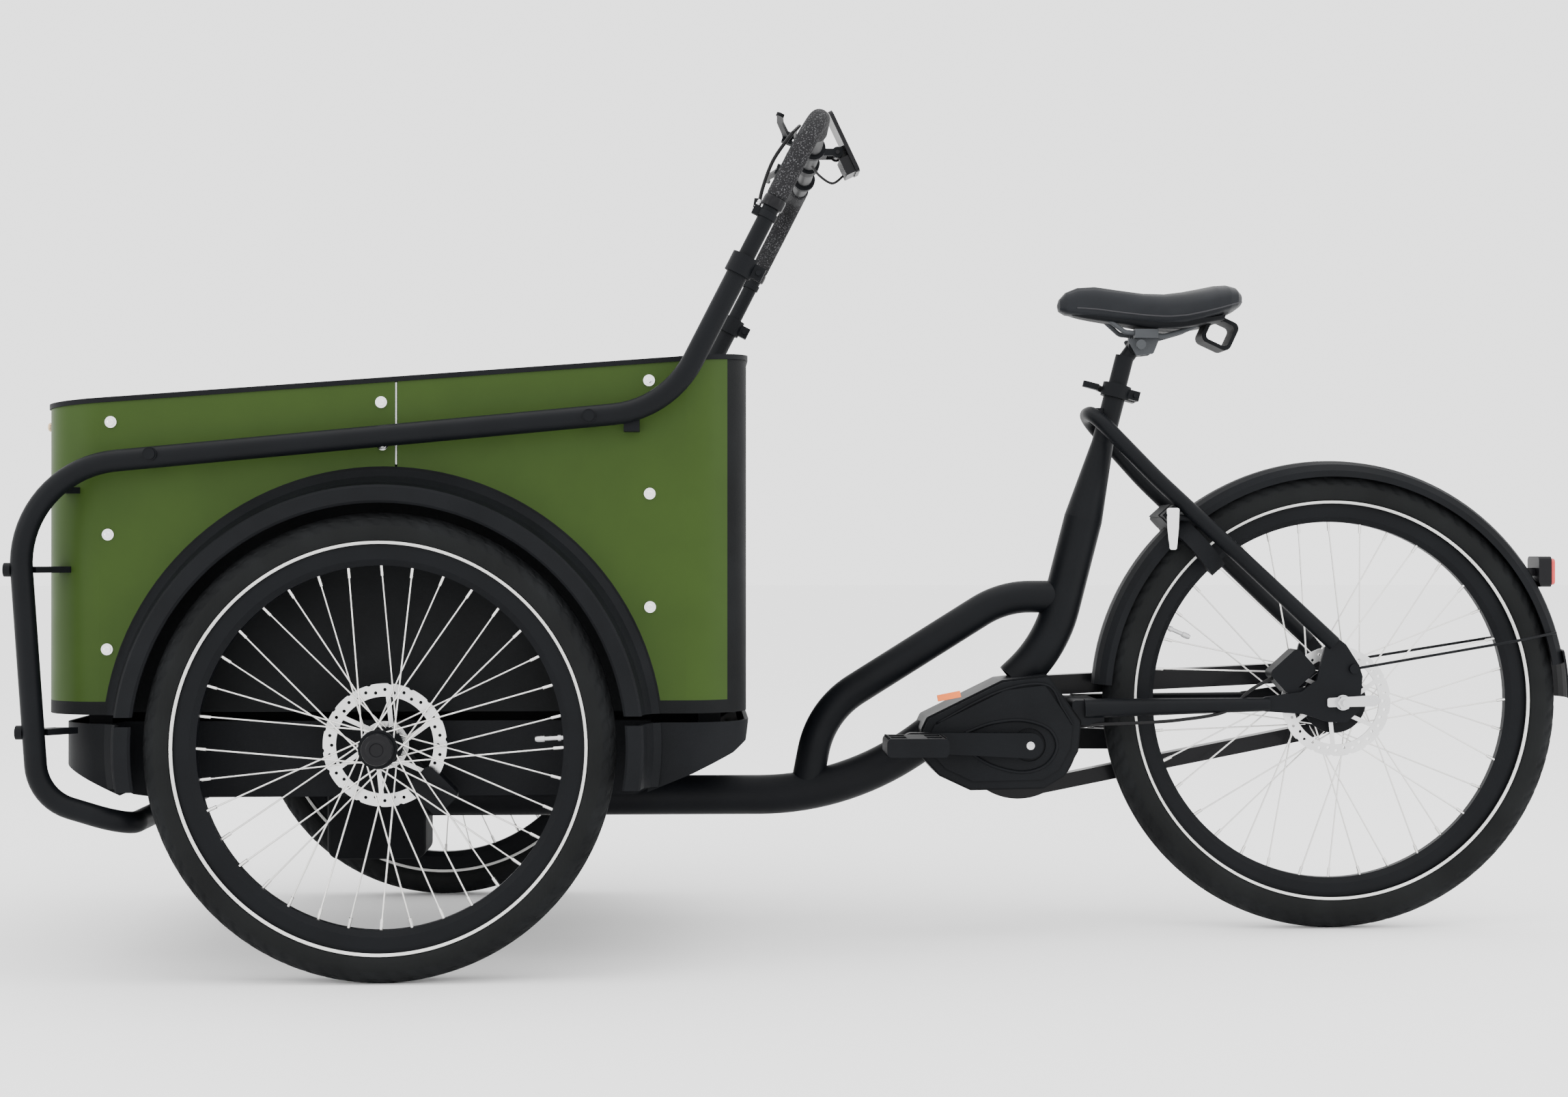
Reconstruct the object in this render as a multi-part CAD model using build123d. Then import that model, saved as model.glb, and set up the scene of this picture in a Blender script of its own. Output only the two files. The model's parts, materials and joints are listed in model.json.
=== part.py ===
from build123d import *
import math
import os

# Cargo tricycle: two steered wheels and a box in front, one driven wheel behind.
# Millimetres, +X to the rear, +Y to the rider's right, +Z up, ground at Z = 0.
# Stations along X are measured from a datum; DATUM_SHIFT centres the whole machine.

# ---- driving dimensions -------------------------------------------------------------
DATUM_SHIFT = -209.5

FRONT_AXLE_X = -395.7
FRONT_TRACK_HALF = 402.5
FRONT_WHEEL_R = 300.5
FRONT_TYRE_W = 47.0
FRONT_BEAD_R = 253.5
FRONT_RIM_INNER_R = 233.0

REAR_AXLE_X = 937.4
REAR_WHEEL_R = 334.5
REAR_TYRE_W = 55.0
REAR_BEAD_R = 279.5
REAR_RIM_INNER_R = 261.0
SPOKE_COUNT = 36
SPOKE_R = 1.1

BOX_FRONT_X = -840.0
BOX_REAR_X = 74.0
BOX_HALF_W = 370.0
BOX_CORNER_R = 80.0
BOX_BOTTOM_Z = 341.0
BOX_FLOOR_Z = 352.0
BOX_WALL = 8.0
BOX_TOP_FRONT_Z = 737.0
BOX_TOP_SLOPE = 0.0747
PANEL_T = 4.0
PANEL_BOTTOM_Z = 358.0
PANEL_REAR_X = 48.0
PANEL_SEAM_X = -380.5
RIM_TRIM_H = 6.5
WELL_R = 346.0
WELL_HALF_W = 318.0
ARCH_R = 358.0
TRAY_HALF_W = 366.0
TRAY_TOP_Z = 329.0

PIVOT_X = -396.0
KING_PIN_R = 15.0
RUN_CLEAR = 0.05

RAIL_HALF_W = 402.0
RAIL_OD = 28.0
RAIL_ID = 22.35
BAR_OD = 22.2
BAR_LEAN = 0.51

LOWER_TUBE_OD = 57.0
UPPER_TUBE_OD = 47.0
SEAT_TUBE_OD = 56.0
SEAT_TOP_OD = 32.0
SEAT_LEAN = 0.258
POST_R = 13.6

BB_X = 484.0
BB_Z = 275.0
CRANK_LENGTH = 170.0
ARM_Y = 87.0
SPINDLE_R = 8.5
CHAIN_Y = 50.0
RING_R = 78.0
SPROCKET_R = 40.0

parts = {}


# ---- helpers ------------------------------------------------------------------------
def bent_path(points, radii):
    pts = [Vector(*p) for p in points]
    edges = []
    start = pts[0]
    for i in range(1, len(pts) - 1):
        a = (pts[i - 1] - pts[i]).normalized()
        b = (pts[i + 1] - pts[i]).normalized()
        half = math.radians(a.get_angle(b) / 2)
        r = radii[i - 1]
        reach = r / math.tan(half)
        middle = (a + b).normalized()
        p = pts[i] + a * reach
        q = pts[i] + b * reach
        m = pts[i] + middle * (r / math.sin(half) - r)
        edges.append(Edge.make_line(start, p))
        edges.append(Edge.make_three_point_arc(p, m, q))
        start = q
    edges.append(Edge.make_line(start, pts[-1]))
    return Wire(edges)


def rod(points, radii, od):
    path = bent_path(points, radii)
    ends = Vector(*points[1]) - Vector(*points[0])
    section = Plane(origin=points[0], z_dir=ends) * Circle(od / 2)
    return sweep(section, path=path)


def tube(points, radii, od, bore):
    path = bent_path(points, radii)
    ends = Vector(*points[1]) - Vector(*points[0])
    section = Plane(origin=points[0], z_dir=ends) * (Circle(od / 2) - Circle(bore / 2))
    return sweep(section, path=path)


def prism(face, y0, y1):
    return extrude(Plane.XZ.offset(-y0) * face, amount=-(y1 - y0))


def outline(points, r=0.0):
    face = make_face(Polyline(*points, close=True))
    if r > 0:
        face = fillet(face.vertices(), r)
    return face


def turned(face, a0, a1, x, y, z):
    body = revolve(face, Axis.Y, revolution_arc=a1 - a0)
    return Pos(x, y, z) * Rot(0, -a1, 0) * body


def cyl_y(r, y0, y1, x, z):
    return Pos(x, (y0 + y1) / 2, z) * Rot(90, 0, 0) * Cylinder(r, abs(y1 - y0))


def cyl_between(p, q, r):
    d = Vector(*q) - Vector(*p)
    mid = (Vector(*q) + Vector(*p)) * 0.5
    return Plane(origin=mid, z_dir=d) * Cylinder(r, d.length)


def block(x0, x1, y0, y1, z0, z1):
    return Pos((x0 + x1) / 2, (y0 + y1) / 2, (z0 + z1) / 2) * Box(x1 - x0, y1 - y0, z1 - z0)


def both(shape):
    return shape + mirror(shape, Plane.XZ)


def lean_x(z):
    return 552.0 + SEAT_LEAN * (z - 512.0)


def bar_x(z):
    return 3.0 + BAR_LEAN * (z - 797.0)


def under_top(offset_z):
    slab = Pos(500, 0, -500) * Box(3000, 2000, 1000)
    angle = math.degrees(math.atan(BOX_TOP_SLOPE))
    return Pos(BOX_FRONT_X, 0, BOX_TOP_FRONT_Z + offset_z) * Rot(0, -angle, 0) * slab


def box_prism(inset, z0, z1):
    length = BOX_REAR_X - BOX_FRONT_X - 2 * inset
    width = 2 * BOX_HALF_W - 2 * inset
    plan = RectangleRounded(length, width, BOX_CORNER_R - inset)
    middle = (BOX_REAR_X + BOX_FRONT_X) / 2
    return Pos(middle, 0, z0) * extrude(plan, amount=z1 - z0)


# ---- wheels -------------------------------------------------------------------------
def tyre_body(outer_r, width, bead_r):
    half = width / 2
    centre = outer_r - half
    ring = Pos(centre, 0) * (Circle(half) - Circle(half - 3.5))
    seat = Pos(bead_r - 10, 0) * Rectangle(37, 28.4)
    foot = Pos(bead_r + 4.0, 0) * (Rectangle(15, 24.8) - Rectangle(15, 18))
    lip = Pos(bead_r + 10.4, 0) * (Rectangle(3.4, 31) - Rectangle(3.4, 18))
    section = ring - seat + foot + lip
    return revolve(section, Axis.Y, revolution_arc=360)


def rim_body(bead_r, inner_r):
    top = bead_r + 8.5
    pts = [(top, -14), (bead_r + 2, -14), (inner_r + 8, -12), (inner_r, -6), (inner_r, 6),
           (inner_r + 8, 12), (bead_r + 2, 14), (top, 14), (top, 12.45), (bead_r - 4.5, 12.45),
           (bead_r - 8, 7), (bead_r - 8, -7), (bead_r - 4.5, -12.45), (top, -12.45)]
    return revolve(outline(pts), Axis.Y, revolution_arc=360)


def spoke_set(hub, rim, flange_r, flange_y, rim_r):
    group = []
    cross = math.radians(48)
    step = 720.0 / SPOKE_COUNT
    for side in (-1, 1):
        for lean in (-1, 1):
            rim_a = math.radians((0 if side < 0 else 10) + (0 if lean < 0 else 20))
            hub_a = rim_a + lean * cross
            y_hub = side * (flange_y + 0.9 * lean)
            p = (flange_r * math.cos(hub_a), y_hub, flange_r * math.sin(hub_a))
            q = ((rim_r + 3) * math.cos(rim_a), side * 3.5, (rim_r + 3) * math.sin(rim_a))
            nip = (rim_r * math.cos(rim_a), side * 4.0, rim_r * math.sin(rim_a))
            along = (Vector(*p) - Vector(*nip)).normalized() * 13
            end = Vector(*nip) + along
            one = cyl_between(p, q, SPOKE_R) + cyl_between(q, (end.X, end.Y, end.Z), 2.2)
            one = one - hub - rim
            solid = max(one.solids(), key=lambda s: s.volume)
            for k in range(SPOKE_COUNT // 4):
                group.append(Rot(0, 4 * 10.0 * k, 0) * solid)
    return Compound(children=group)


def rotor_body(y, bore_r):
    plan = Circle(80) - Circle(63)
    spider = Circle(31) - Circle(bore_r)
    for k in range(6):
        arm = Rot(0, 0, 60 * k + 12) * Pos(47, 9) * Rot(0, 0, 24) * Rectangle(44, 6)
        spider = spider + arm
    plan = plan + (spider & Circle(70))
    for k in range(36):
        plan = plan - Rot(0, 0, 10 * k) * Pos(68.5 + 3.5 * (k % 2), 0) * Circle(2.2)
    for k in range(18):
        plan = plan - Rot(0, 0, 20 * k + 5) * Pos(81.8, 0) * Circle(3.4)
    return prism(plan, y - 1, y + 1)


def front_wheel():
    hub = cyl_y(16, -30, 30, 0, 0)
    for s in (-1, 1):
        hub = hub + cyl_y(25, s * 27, s * 31, 0, 0)
    hub = hub + cyl_y(21, -42, -31, 0, 0) + cyl_y(22, 31, 40, 0, 0)
    hub = chamfer(hub.edges().group_by(Axis.Y)[0], 2)
    hub = hub - cyl_y(10 + RUN_CLEAR, -37, 41, 0, 0)
    rim = rim_body(FRONT_BEAD_R, FRONT_RIM_INNER_R)
    tyre = tyre_body(FRONT_WHEEL_R, FRONT_TYRE_W, FRONT_BEAD_R)
    spokes = spoke_set(hub, rim, 23, 29, FRONT_RIM_INNER_R)
    rotor = rotor_body(41, 12)
    for k in range(6):
        a = math.radians(60 * k + 12)
        rotor = rotor + cyl_y(3.6, 42, 44, 26 * math.cos(a), 26 * math.sin(a))
    return {"tyre": tyre, "rim": rim, "spokes": spokes, "hub": hub, "rotor": rotor}


def rear_wheel():
    hub = cyl_y(38, -27, 27, 0, 0)
    for s in (-1, 1):
        hub = hub + cyl_y(47, s * 27, s * 31, 0, 0)
    hub = hub + cyl_y(24, -39, -31, 0, 0) + cyl_y(30, 31, 35, 0, 0)
    hub = hub - cyl_y(5 + RUN_CLEAR, -60, 60, 0, 0)
    rim = rim_body(REAR_BEAD_R, REAR_RIM_INNER_R)
    tyre = tyre_body(REAR_WHEEL_R, REAR_TYRE_W, REAR_BEAD_R)
    spokes = spoke_set(hub, rim, 45, 29, REAR_RIM_INNER_R)
    rotor = rotor_body(-40, 12)
    for k in range(6):
        a = math.radians(60 * k + 12)
        rotor = rotor + cyl_y(3.6, -43, -41, 26 * math.cos(a), 26 * math.sin(a))
    rotor = rotor - cyl_y(12, -60, 0, 0, 0)
    return {"tyre": tyre, "rim": rim, "spokes": spokes, "hub": hub, "rotor": rotor}


front_set = front_wheel()
for name, shape in front_set.items():
    left = Pos(FRONT_AXLE_X, -FRONT_TRACK_HALF, FRONT_WHEEL_R) * shape
    parts["front_left_" + name] = left
    parts["front_right_" + name] = mirror(left, Plane.XZ)
rear_set = rear_wheel()
for name, shape in rear_set.items():
    parts["rear_" + name] = Pos(REAR_AXLE_X, 0, REAR_WHEEL_R) * shape

# ---- rear frame ---------------------------------------------------------------------
lower_path = [(-385, 0, 198), (230, 0, 198), (348, 0, 283.7)]
upper_path = [(168, 0, 205), (190.3, 0, 319.5), (456.3, 0, 486), (552, 0, 486)]
seat_path = [(472, 0, 362.7), (lean_x(414.8), 0, 414.8), (lean_x(600), 0, 600)]

motor_pts = [(330, 297), (338, 314), (446, 367), (514, 375), (544, 332), (561, 308),
             (557, 265), (537, 229), (507, 211), (401, 209), (356, 230), (332, 256)]
motor_face = outline(motor_pts, 7)
motor_solid = prism(motor_face, -75, 36)
motor_housing = prism(motor_face, -64, 36) - cyl_y(SPINDLE_R + RUN_CLEAR, -80, 60, BB_X, BB_Z)
MOTOR_WALL = 6.0
hollow = prism(offset(motor_face, amount=-MOTOR_WALL), -65, 30)
motor_housing = motor_housing - (hollow - cyl_y(SPINDLE_R + 6, -70, 34, BB_X, BB_Z))
motor_housing = motor_housing + (cyl_y(19, 36, 38, BB_X, BB_Z)
                                 - cyl_y(SPINDLE_R + RUN_CLEAR, 30, 40, BB_X, BB_Z))
cover_face = offset(motor_face, amount=-3)
cover = prism(cover_face, -72, -64)
cover = cover + prism(offset(motor_face, amount=-14), -75, -72)
cover = cover - cyl_y(24, -80, -72.5, BB_X, BB_Z)
cover = cover - cyl_y(SPINDLE_R + RUN_CLEAR, -80, -60, BB_X, BB_Z)
parts["motor_housing"] = motor_housing
parts["motor_cover"] = cover

seat_outer = rod(seat_path, [200], SEAT_TUBE_OD)
seat_plane = Plane(origin=(lean_x(600), 0, 600), z_dir=(SEAT_LEAN, 0, 1))
stretch = math.sqrt(1 + SEAT_LEAN ** 2)
cone_len = 112 * stretch
neck_len = 83 * stretch
low = (Align.CENTER, Align.CENTER, Align.MIN)
cone = seat_plane * Cone(SEAT_TUBE_OD / 2, SEAT_TOP_OD / 2, cone_len, align=low)
neck = seat_plane * Pos(0, 0, cone_len) * Cylinder(SEAT_TOP_OD / 2, neck_len, align=low)
seat_solid = seat_outer + cone + neck
neck_r = POST_R + RUN_CLEAR
upper_ring = outline([(SEAT_TUBE_OD / 2, 0), (SEAT_TOP_OD / 2, cone_len),
                      (SEAT_TOP_OD / 2, cone_len + neck_len), (neck_r, cone_len + neck_len),
                      (neck_r, cone_len - 12), (SEAT_TUBE_OD / 2 - 2.5, 0)])
seat_upper = seat_plane * revolve(Plane.XZ * upper_ring, Axis.Z)
seat_tube = tube(seat_path, [200], SEAT_TUBE_OD, SEAT_TUBE_OD - 5) - motor_solid
seat_tube = seat_tube + seat_upper

lower_solid = rod(lower_path, [399], LOWER_TUBE_OD)
lower_tube = tube(lower_path, [399], LOWER_TUBE_OD, LOWER_TUBE_OD - 5)
upper_solid = rod(upper_path, [135, 140], UPPER_TUBE_OD)
upper_tube = tube(upper_path, [135, 140], UPPER_TUBE_OD, UPPER_TUBE_OD - 4)
upper_tube = upper_tube - lower_solid - seat_solid
upper_tube = max(upper_tube.solids(), key=lambda s: s.volume)

stay_pts = [(926, -72, 419), (672, -55, 658), (583, -38, 753), (583, 38, 753), (672, 55, 658),
            (926, 72, 419)]
stays_solid = rod(stay_pts, [400, 34, 34, 400], 22)
stays = tube(stay_pts, [400, 34, 34, 400], 22, 18)
stay_lug = block(578, 602, -10, 10, 744, 762) - seat_solid
lug_core = rod(stay_pts, [400, 34, 34, 400], 20)
stays = stays + (stay_lug - lug_core)

chain_solid = None
for s in (-1, 1):
    p = Vector(566, s * 62, 326)
    q = Vector(832, s * 72, 332)
    run = q - p
    where = Plane(origin=p, z_dir=run)
    leg = where * Cone(14, 9.75, run.length, align=low)
    chain_solid = leg if chain_solid is None else chain_solid + leg
bridge = fillet(block(548, 594, -66, 66, 302, 338).edges().filter_by(Axis.Y), 6) - motor_solid
case_clear = cyl_y(91, 36.5, 66.5, BB_X, BB_Z)
tyre_clear = cyl_y(341, -45, 45, REAR_AXLE_X, REAR_WHEEL_R)
chain_stays = (chain_solid + bridge) - case_clear - tyre_clear
chain_stays = max(chain_stays.solids(), key=lambda s: s.volume)

steering_case = block(-518, -378, -46, 46, 112, 222)
steering_case = fillet(steering_case.edges().filter_by(Axis.Y), 16)
steering_case = fillet(steering_case.edges().group_by(Axis.Y)[0], 5)
steering_case = steering_case - block(-510, -386, -38, 38, 120, 214)
steering_case = steering_case - Pos(-448, 0, 115) * Cylinder(8, 20)
king_pin = Pos(PIVOT_X, 0, 220) * Cylinder(KING_PIN_R, 106, align=low)
king_collar = Pos(PIVOT_X, 0, 220) * Cylinder(27, 7.1, align=low)
steering_head = steering_case + king_pin + king_collar
lower_tube = lower_tube - steering_head - motor_solid
lower_tube = max(lower_tube.solids(), key=lambda s: s.volume)
parts["lower_tube"] = lower_tube
parts["upper_tube"] = upper_tube
parts["seat_tube"] = seat_tube
parts["steering_head"] = steering_head

drop_pts = [(822, 322), (822, 342), (878, 350), (900, 366), (912, 414), (930, 428), (943, 418),
            (962, 388), (967, 372), (962, 322), (944, 306), (918, 306), (880, 318)]
drop_face = outline(drop_pts, 4) - Pos(REAR_AXLE_X, REAR_WHEEL_R) * Circle(5.2)
drop_face = drop_face - Pos(954, 383) * Circle(3.0)
dropouts = both(prism(drop_face, -75, -69)) - stays_solid - chain_stays
parts["seat_stays"] = stays
parts["chain_stays"] = chain_stays
parts["dropouts"] = dropouts

axle = cyl_y(5, -95, 95, REAR_AXLE_X, REAR_WHEEL_R)
for s in (-1, 1):
    nut = prism(Pos(REAR_AXLE_X, REAR_WHEEL_R) * RegularPolygon(10, 6), s * 78.5, s * 88)
    washer = cyl_y(11, s * 78, s * 78.6, REAR_AXLE_X, REAR_WHEEL_R)
    pull = outline([(915, 328), (915, 341), (985, 345), (995, 337), (985, 329)], 3)
    axle = axle + nut + washer + prism(pull, s * 75, s * 78)
axle = axle + cyl_y(11, -69, -45, REAR_AXLE_X, REAR_WHEEL_R)
axle = axle + cyl_y(12, 35.6, 69, REAR_AXLE_X, REAR_WHEEL_R)
parts["rear_axle"] = axle

# ---- drive --------------------------------------------------------------------------
def belt(r1, r2):
    a = Pos(BB_X, BB_Z) * Circle(r1)
    b = Pos(REAR_AXLE_X, REAR_WHEEL_R) * Circle(r2)
    return make_hull(a.edges() + b.edges())


def run_strip(points, width):
    face = None
    for i in range(len(points) - 1):
        (xa, za), (xb, zb) = points[i], points[i + 1]
        length = math.hypot(xb - xa, zb - za)
        angle = math.degrees(math.atan2(zb - za, xb - xa))
        piece = Pos((xa + xb) / 2, (za + zb) / 2) * Rot(0, 0, angle) * Rectangle(length, width)
        piece = piece + Pos(xa, za) * Circle(width / 2) + Pos(xb, zb) * Circle(width / 2)
        face = piece if face is None else face + piece
    return face


def case_profile(grow):
    face = Pos(BB_X, BB_Z) * Circle(89 + grow)
    face = face + Pos(REAR_AXLE_X, REAR_WHEEL_R) * Circle(50.5 + grow)
    face = face + run_strip([(BB_X, 352), (REAR_AXLE_X, 374)], 29 + 2 * grow)
    face = face + run_strip([(BB_X, 198), (700, 241), (905, 281), (REAR_AXLE_X, 291)],
                            22 + 2 * grow)
    return face


chain_case = prism(case_profile(0), 39, 64) - prism(case_profile(-3), 41.5, 61.5)
chain_case = chain_case - cyl_y(21, 38, 42, BB_X, BB_Z) - cyl_y(21, 61, 66, BB_X, BB_Z)
chain_case = chain_case - cyl_y(20, 38, 42, REAR_AXLE_X, REAR_WHEEL_R)
chain_case = chain_case - cyl_y(12, 61, 66, REAR_AXLE_X, REAR_WHEEL_R)
chain_case = chain_case - chain_stays
parts["chain_case"] = max(chain_case.solids(), key=lambda s: s.volume)
parts["drive_chain"] = prism(belt(83, 46.2) - belt(79, 42.2), 46, 54)

ring_face = Circle(RING_R) - Circle(58)
for k in range(38):
    notch = Rot(0, 0, 360 / 38 * k) * Pos(RING_R + 0.6, 0) * Circle(3.4)
    ring_face = ring_face - notch
spider = Circle(24)
for k in range(5):
    spider = spider + Rot(0, 0, 72 * k) * Pos(40, 0) * Rectangle(42, 12)
ring_face = ring_face + (spider & Circle(60)) - Circle(SPINDLE_R)
parts["chainring"] = prism(Pos(BB_X, BB_Z) * ring_face, CHAIN_Y - 1.5, CHAIN_Y + 1.5)

cog_face = Circle(SPROCKET_R) - Circle(12 + RUN_CLEAR)
for k in range(19):
    cog_face = cog_face - Rot(0, 0, 360 / 19 * k) * Pos(SPROCKET_R + 0.6, 0) * Circle(3.4)
for k in range(5):
    cog_face = cog_face - Rot(0, 0, 72 * k) * Pos(24, 0) * Circle(5)
parts["rear_sprocket"] = prism(Pos(REAR_AXLE_X, REAR_WHEEL_R) * cog_face, CHAIN_Y - 1.5,
                               CHAIN_Y + 1.5)


def crank_arm(side):
    tip_x = BB_X + side * CRANK_LENGTH
    tip_z = BB_Z - side * 5
    a = Pos(BB_X, BB_Z) * Circle(18)
    b = Pos(tip_x, tip_z) * Circle(14)
    face = make_hull(a.edges() + b.edges())
    arm = prism(face, side * (ARM_Y - 7), side * (ARM_Y + 7))
    arm = arm - cyl_y(6, side * (ARM_Y + 4), side * (ARM_Y + 10), BB_X, BB_Z)
    arm = arm + cyl_y(4.5, side * (ARM_Y + 3), side * (ARM_Y + 5.5), BB_X, BB_Z)
    return arm + cyl_y(7, side * (ARM_Y + 7), side * (ARM_Y + 100), tip_x, tip_z)


cranks = crank_arm(-1) + crank_arm(1) + cyl_y(SPINDLE_R, -ARM_Y + 6, ARM_Y - 6, BB_X, BB_Z)
parts["crank_arms"] = cranks


def pedal(side):
    x = BB_X + side * CRANK_LENGTH
    z = BB_Z - side * 5
    body = block(x - 43, x + 43, ARM_Y + 20, ARM_Y + 104, z - 13, z + 13)
    body = fillet(body.edges().filter_by(Axis.Y), 7)
    for s in (-1, 1):
        body = body - block(x + s * 25 - 11, x + s * 25 + 11, ARM_Y + 30, ARM_Y + 57,
                            z - 20, z + 20)
        body = body - block(x + s * 25 - 11, x + s * 25 + 11, ARM_Y + 66, ARM_Y + 93,
                            z - 20, z + 20)
    body = body + cyl_y(11, ARM_Y + 12, ARM_Y + 24, x, z)
    for i in range(5):
        for s in (-1, 1):
            pin = Pos(x + s * 39.5, ARM_Y + 30 + 16 * i, z) * Cylinder(1.5, 28)
            body = body + pin
    body = body - cyl_y(7 + RUN_CLEAR, ARM_Y - 20, ARM_Y + 100.4, x, z)
    return body if side > 0 else mirror(body, Plane.XZ)


parts["pedal_left"] = pedal(-1)
parts["pedal_right"] = pedal(1)

# ---- rear mudguard, lights, brake ---------------------------------------------------
guard_pts = [(327, -32), (336, -31.5), (345, -25), (350, -13), (351, 0), (350, 13), (345, 25),
             (336, 31.5), (327, 32), (327, 29.8), (335.3, 29.3), (343.2, 23.4), (347.8, 12),
             (348.8, 0), (347.8, -12), (343.2, -23.4), (335.3, -29.3), (327, -29.8)]
guard = turned(outline(guard_pts), 9, 176, REAR_AXLE_X, 0, REAR_WHEEL_R)
flap_pts = [(345, -31), (349, -16), (350.5, 0), (349, 16), (345, 31), (348, 31.5), (352.5, 16),
            (354.6, 0), (352.5, -16), (348, -31.5)]
flap = turned(outline(flap_pts), 0.5, 12, REAR_AXLE_X, 0, REAR_WHEEL_R) - guard
guard = guard - stays_solid - chain_stays
guard = guard - block(500, 640, -60, 60, 250, 345)
parts["rear_fender"] = max(guard.solids(), key=lambda s: s.volume)
parts["mud_flap"] = max(flap.solids(), key=lambda s: s.volume)

stay_rods = None
for s in (-1, 1):
    one = rod([(954, s * 77.5, 383), (1200, s * 62, 423), (1265, s * 31.5, 433)], [40], 4)
    one = one + cyl_y(7, s * 75, s * 80, 954, 383)
    stay_rods = one if stay_rods is None else stay_rods + one
stay_rods = stay_rods - parts["rear_fender"] - dropouts
for s in (-1, 1):
    stay_rods = stay_rods + cyl_y(2.9, s * 69, s * 75, 954, 383)
parts["fender_stays"] = stay_rods

tail_box = fillet(block(1243, 1262, -24, 24, 500, 545).edges().filter_by(Axis.X), 7)
tail_arm = block(1205, 1245, -9, 9, 516, 528)
tail = (tail_box + tail_arm) - cyl_y(351.05, -60, 60, REAR_AXLE_X, REAR_WHEEL_R)
lens = fillet(block(1262, 1269, -21, 21, 503, 542).edges().filter_by(Axis.X), 6)
lens = fillet(lens.edges().group_by(Axis.X)[-1], 2.5)
parts["tail_light_housing"] = tail
parts["tail_light_lens"] = lens

cal = Pos(868, -50, 379) * Rot(0, -42, 0) * fillet(Box(56, 38, 44).edges().filter_by(Axis.Y), 8)
cal = cal - cyl_y(83, -43.4, -36.6, REAR_AXLE_X, REAR_WHEEL_R) + block(862, 884, -69, -60, 344, 356)
cal = cal - block(880, 1000, -46, -30, 300, 352)
parts["rear_caliper"] = cal

# ---- ring lock ----------------------------------------------------------------------
LOCK_A = math.radians(132)
LOCK_R = 304.0
LOCK_RING = 54.0
lock_x = REAR_AXLE_X + LOCK_R * math.cos(LOCK_A)
lock_z = REAR_WHEEL_R + LOCK_R * math.sin(LOCK_A)
radial = Vector(math.cos(LOCK_A), 0, math.sin(LOCK_A))
lock_plane = Plane(origin=(lock_x, 0, lock_z), x_dir=(0, 1, 0),
                   z_dir=Vector(0, 1, 0).cross(radial))
ring_face = Circle(LOCK_RING + 8) - Circle(LOCK_RING - 8)
gap = Polyline((0, 0), (-90, -107), (90, -107), close=True)
arms = ring_face - make_face(gap)
arms = arms + Pos(0, 56) * RectangleRounded(92, 20, 6) - Circle(LOCK_RING - 8)
lock_body = lock_plane * extrude(arms, amount=12.5, both=True)
channel = lock_plane * Torus(LOCK_RING, 5.2)
lock_body = lock_body - channel
cap = Pos(0, 67.5) * RectangleRounded(70, 5, 2)
lock_body = lock_body + lock_plane * extrude(cap, amount=12, both=True)
key_seat = lock_plane * Pos(-50, 62, 0) * Box(22, 14, 22)
key_base = lock_plane.from_local_coords(Vector(-61, 62, 0))
lock_body = lock_body + (key_seat - channel)
lock_foot = both(cyl_between((lock_x - 14, 50, lock_z + 40), (lock_x - 45, 57, lock_z + 42), 5))
lock_body = lock_body + (lock_foot - stays_solid - channel)
lock_body = lock_body - parts["rear_fender"]
lock_body = lock_body - stays_solid - cyl_y(2.6, -80, -46, key_base.X, key_base.Z)
lock_body = lock_body - block(key_base.X - 40, key_base.X + 40, -80, -66, 500, 640)
parts["ring_lock_body"] = max(lock_body.solids(), key=lambda s: s.volume)
bar_face = Plane.XZ * Pos(LOCK_RING, 0) * Circle(4.5)
shackle = revolve(bar_face, Axis.Z, revolution_arc=108)
parts["lock_shackle"] = lock_plane * Rot(0, 0, -48) * shackle
key = cyl_y(2.5, -72, -50, key_base.X, key_base.Z)
blade = outline([(-9, 8), (9, 8), (8, -20), (5, -52), (-5, -52), (-8, -20)], 3)
key = key + Pos(key_base.X, 0, key_base.Z) * prism(blade, -74.5, -72)
parts["lock_key"] = key

# ---- seat ---------------------------------------------------------------------------
axis_dir = Vector(SEAT_LEAN, 0, 1).normalized()
post_low = Vector(lean_x(560), 0, 560)
post_top = Vector(lean_x(838), 0, 838)
HEAD_X = 654.0
HEAD_Z = 853.0
post = cyl_between(tuple(post_low), tuple(post_top), POST_R)
head = cyl_y(14.5, -13, 13, HEAD_X, HEAD_Z)
neck_block = cyl_between((lean_x(830), 0, 830), (HEAD_X - 3, 0, HEAD_Z), 11)
post = post + head + neck_block - cyl_y(4 + RUN_CLEAR, -30, 30, HEAD_X, HEAD_Z)
parts["seat_post"] = post

collar_plane = Plane(origin=(lean_x(777), 0, 777), z_dir=(SEAT_LEAN, 0, 1))
collar = collar_plane * Cylinder(21, 20, align=low)
ear = collar_plane * Pos(25, 0, 10) * Box(18, 24, 14)
collar = collar + ear - collar_plane * Cylinder(SEAT_TOP_OD / 2, 40, align=low)
collar = collar - collar_plane * Pos(25, 0, 10) * Box(30, 3, 30)
collar = collar - seat_solid
bolt = collar_plane * Pos(27, 0, 10) * Rot(90, 0, 0) * Cylinder(3, 34)
collar = collar + bolt - (collar_plane * Cylinder(SEAT_TOP_OD / 2, 40, align=low))
parts["seat_clamp"] = collar
lever_plan = Circle(30) - Circle(26)
lever_plan = lever_plan - Rectangle(200, 100, align=(Align.CENTER, Align.MAX))
lever_plan = lever_plan - Pos(25, 8.75) * Rectangle(30, 17.5)
lever_plan = lever_plan + Pos(-37, 6) * RectangleRounded(24, 12, 5)
lever_eye = Pos(27, 25) * Circle(7) - Pos(27, 25) * Circle(2.55)
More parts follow.
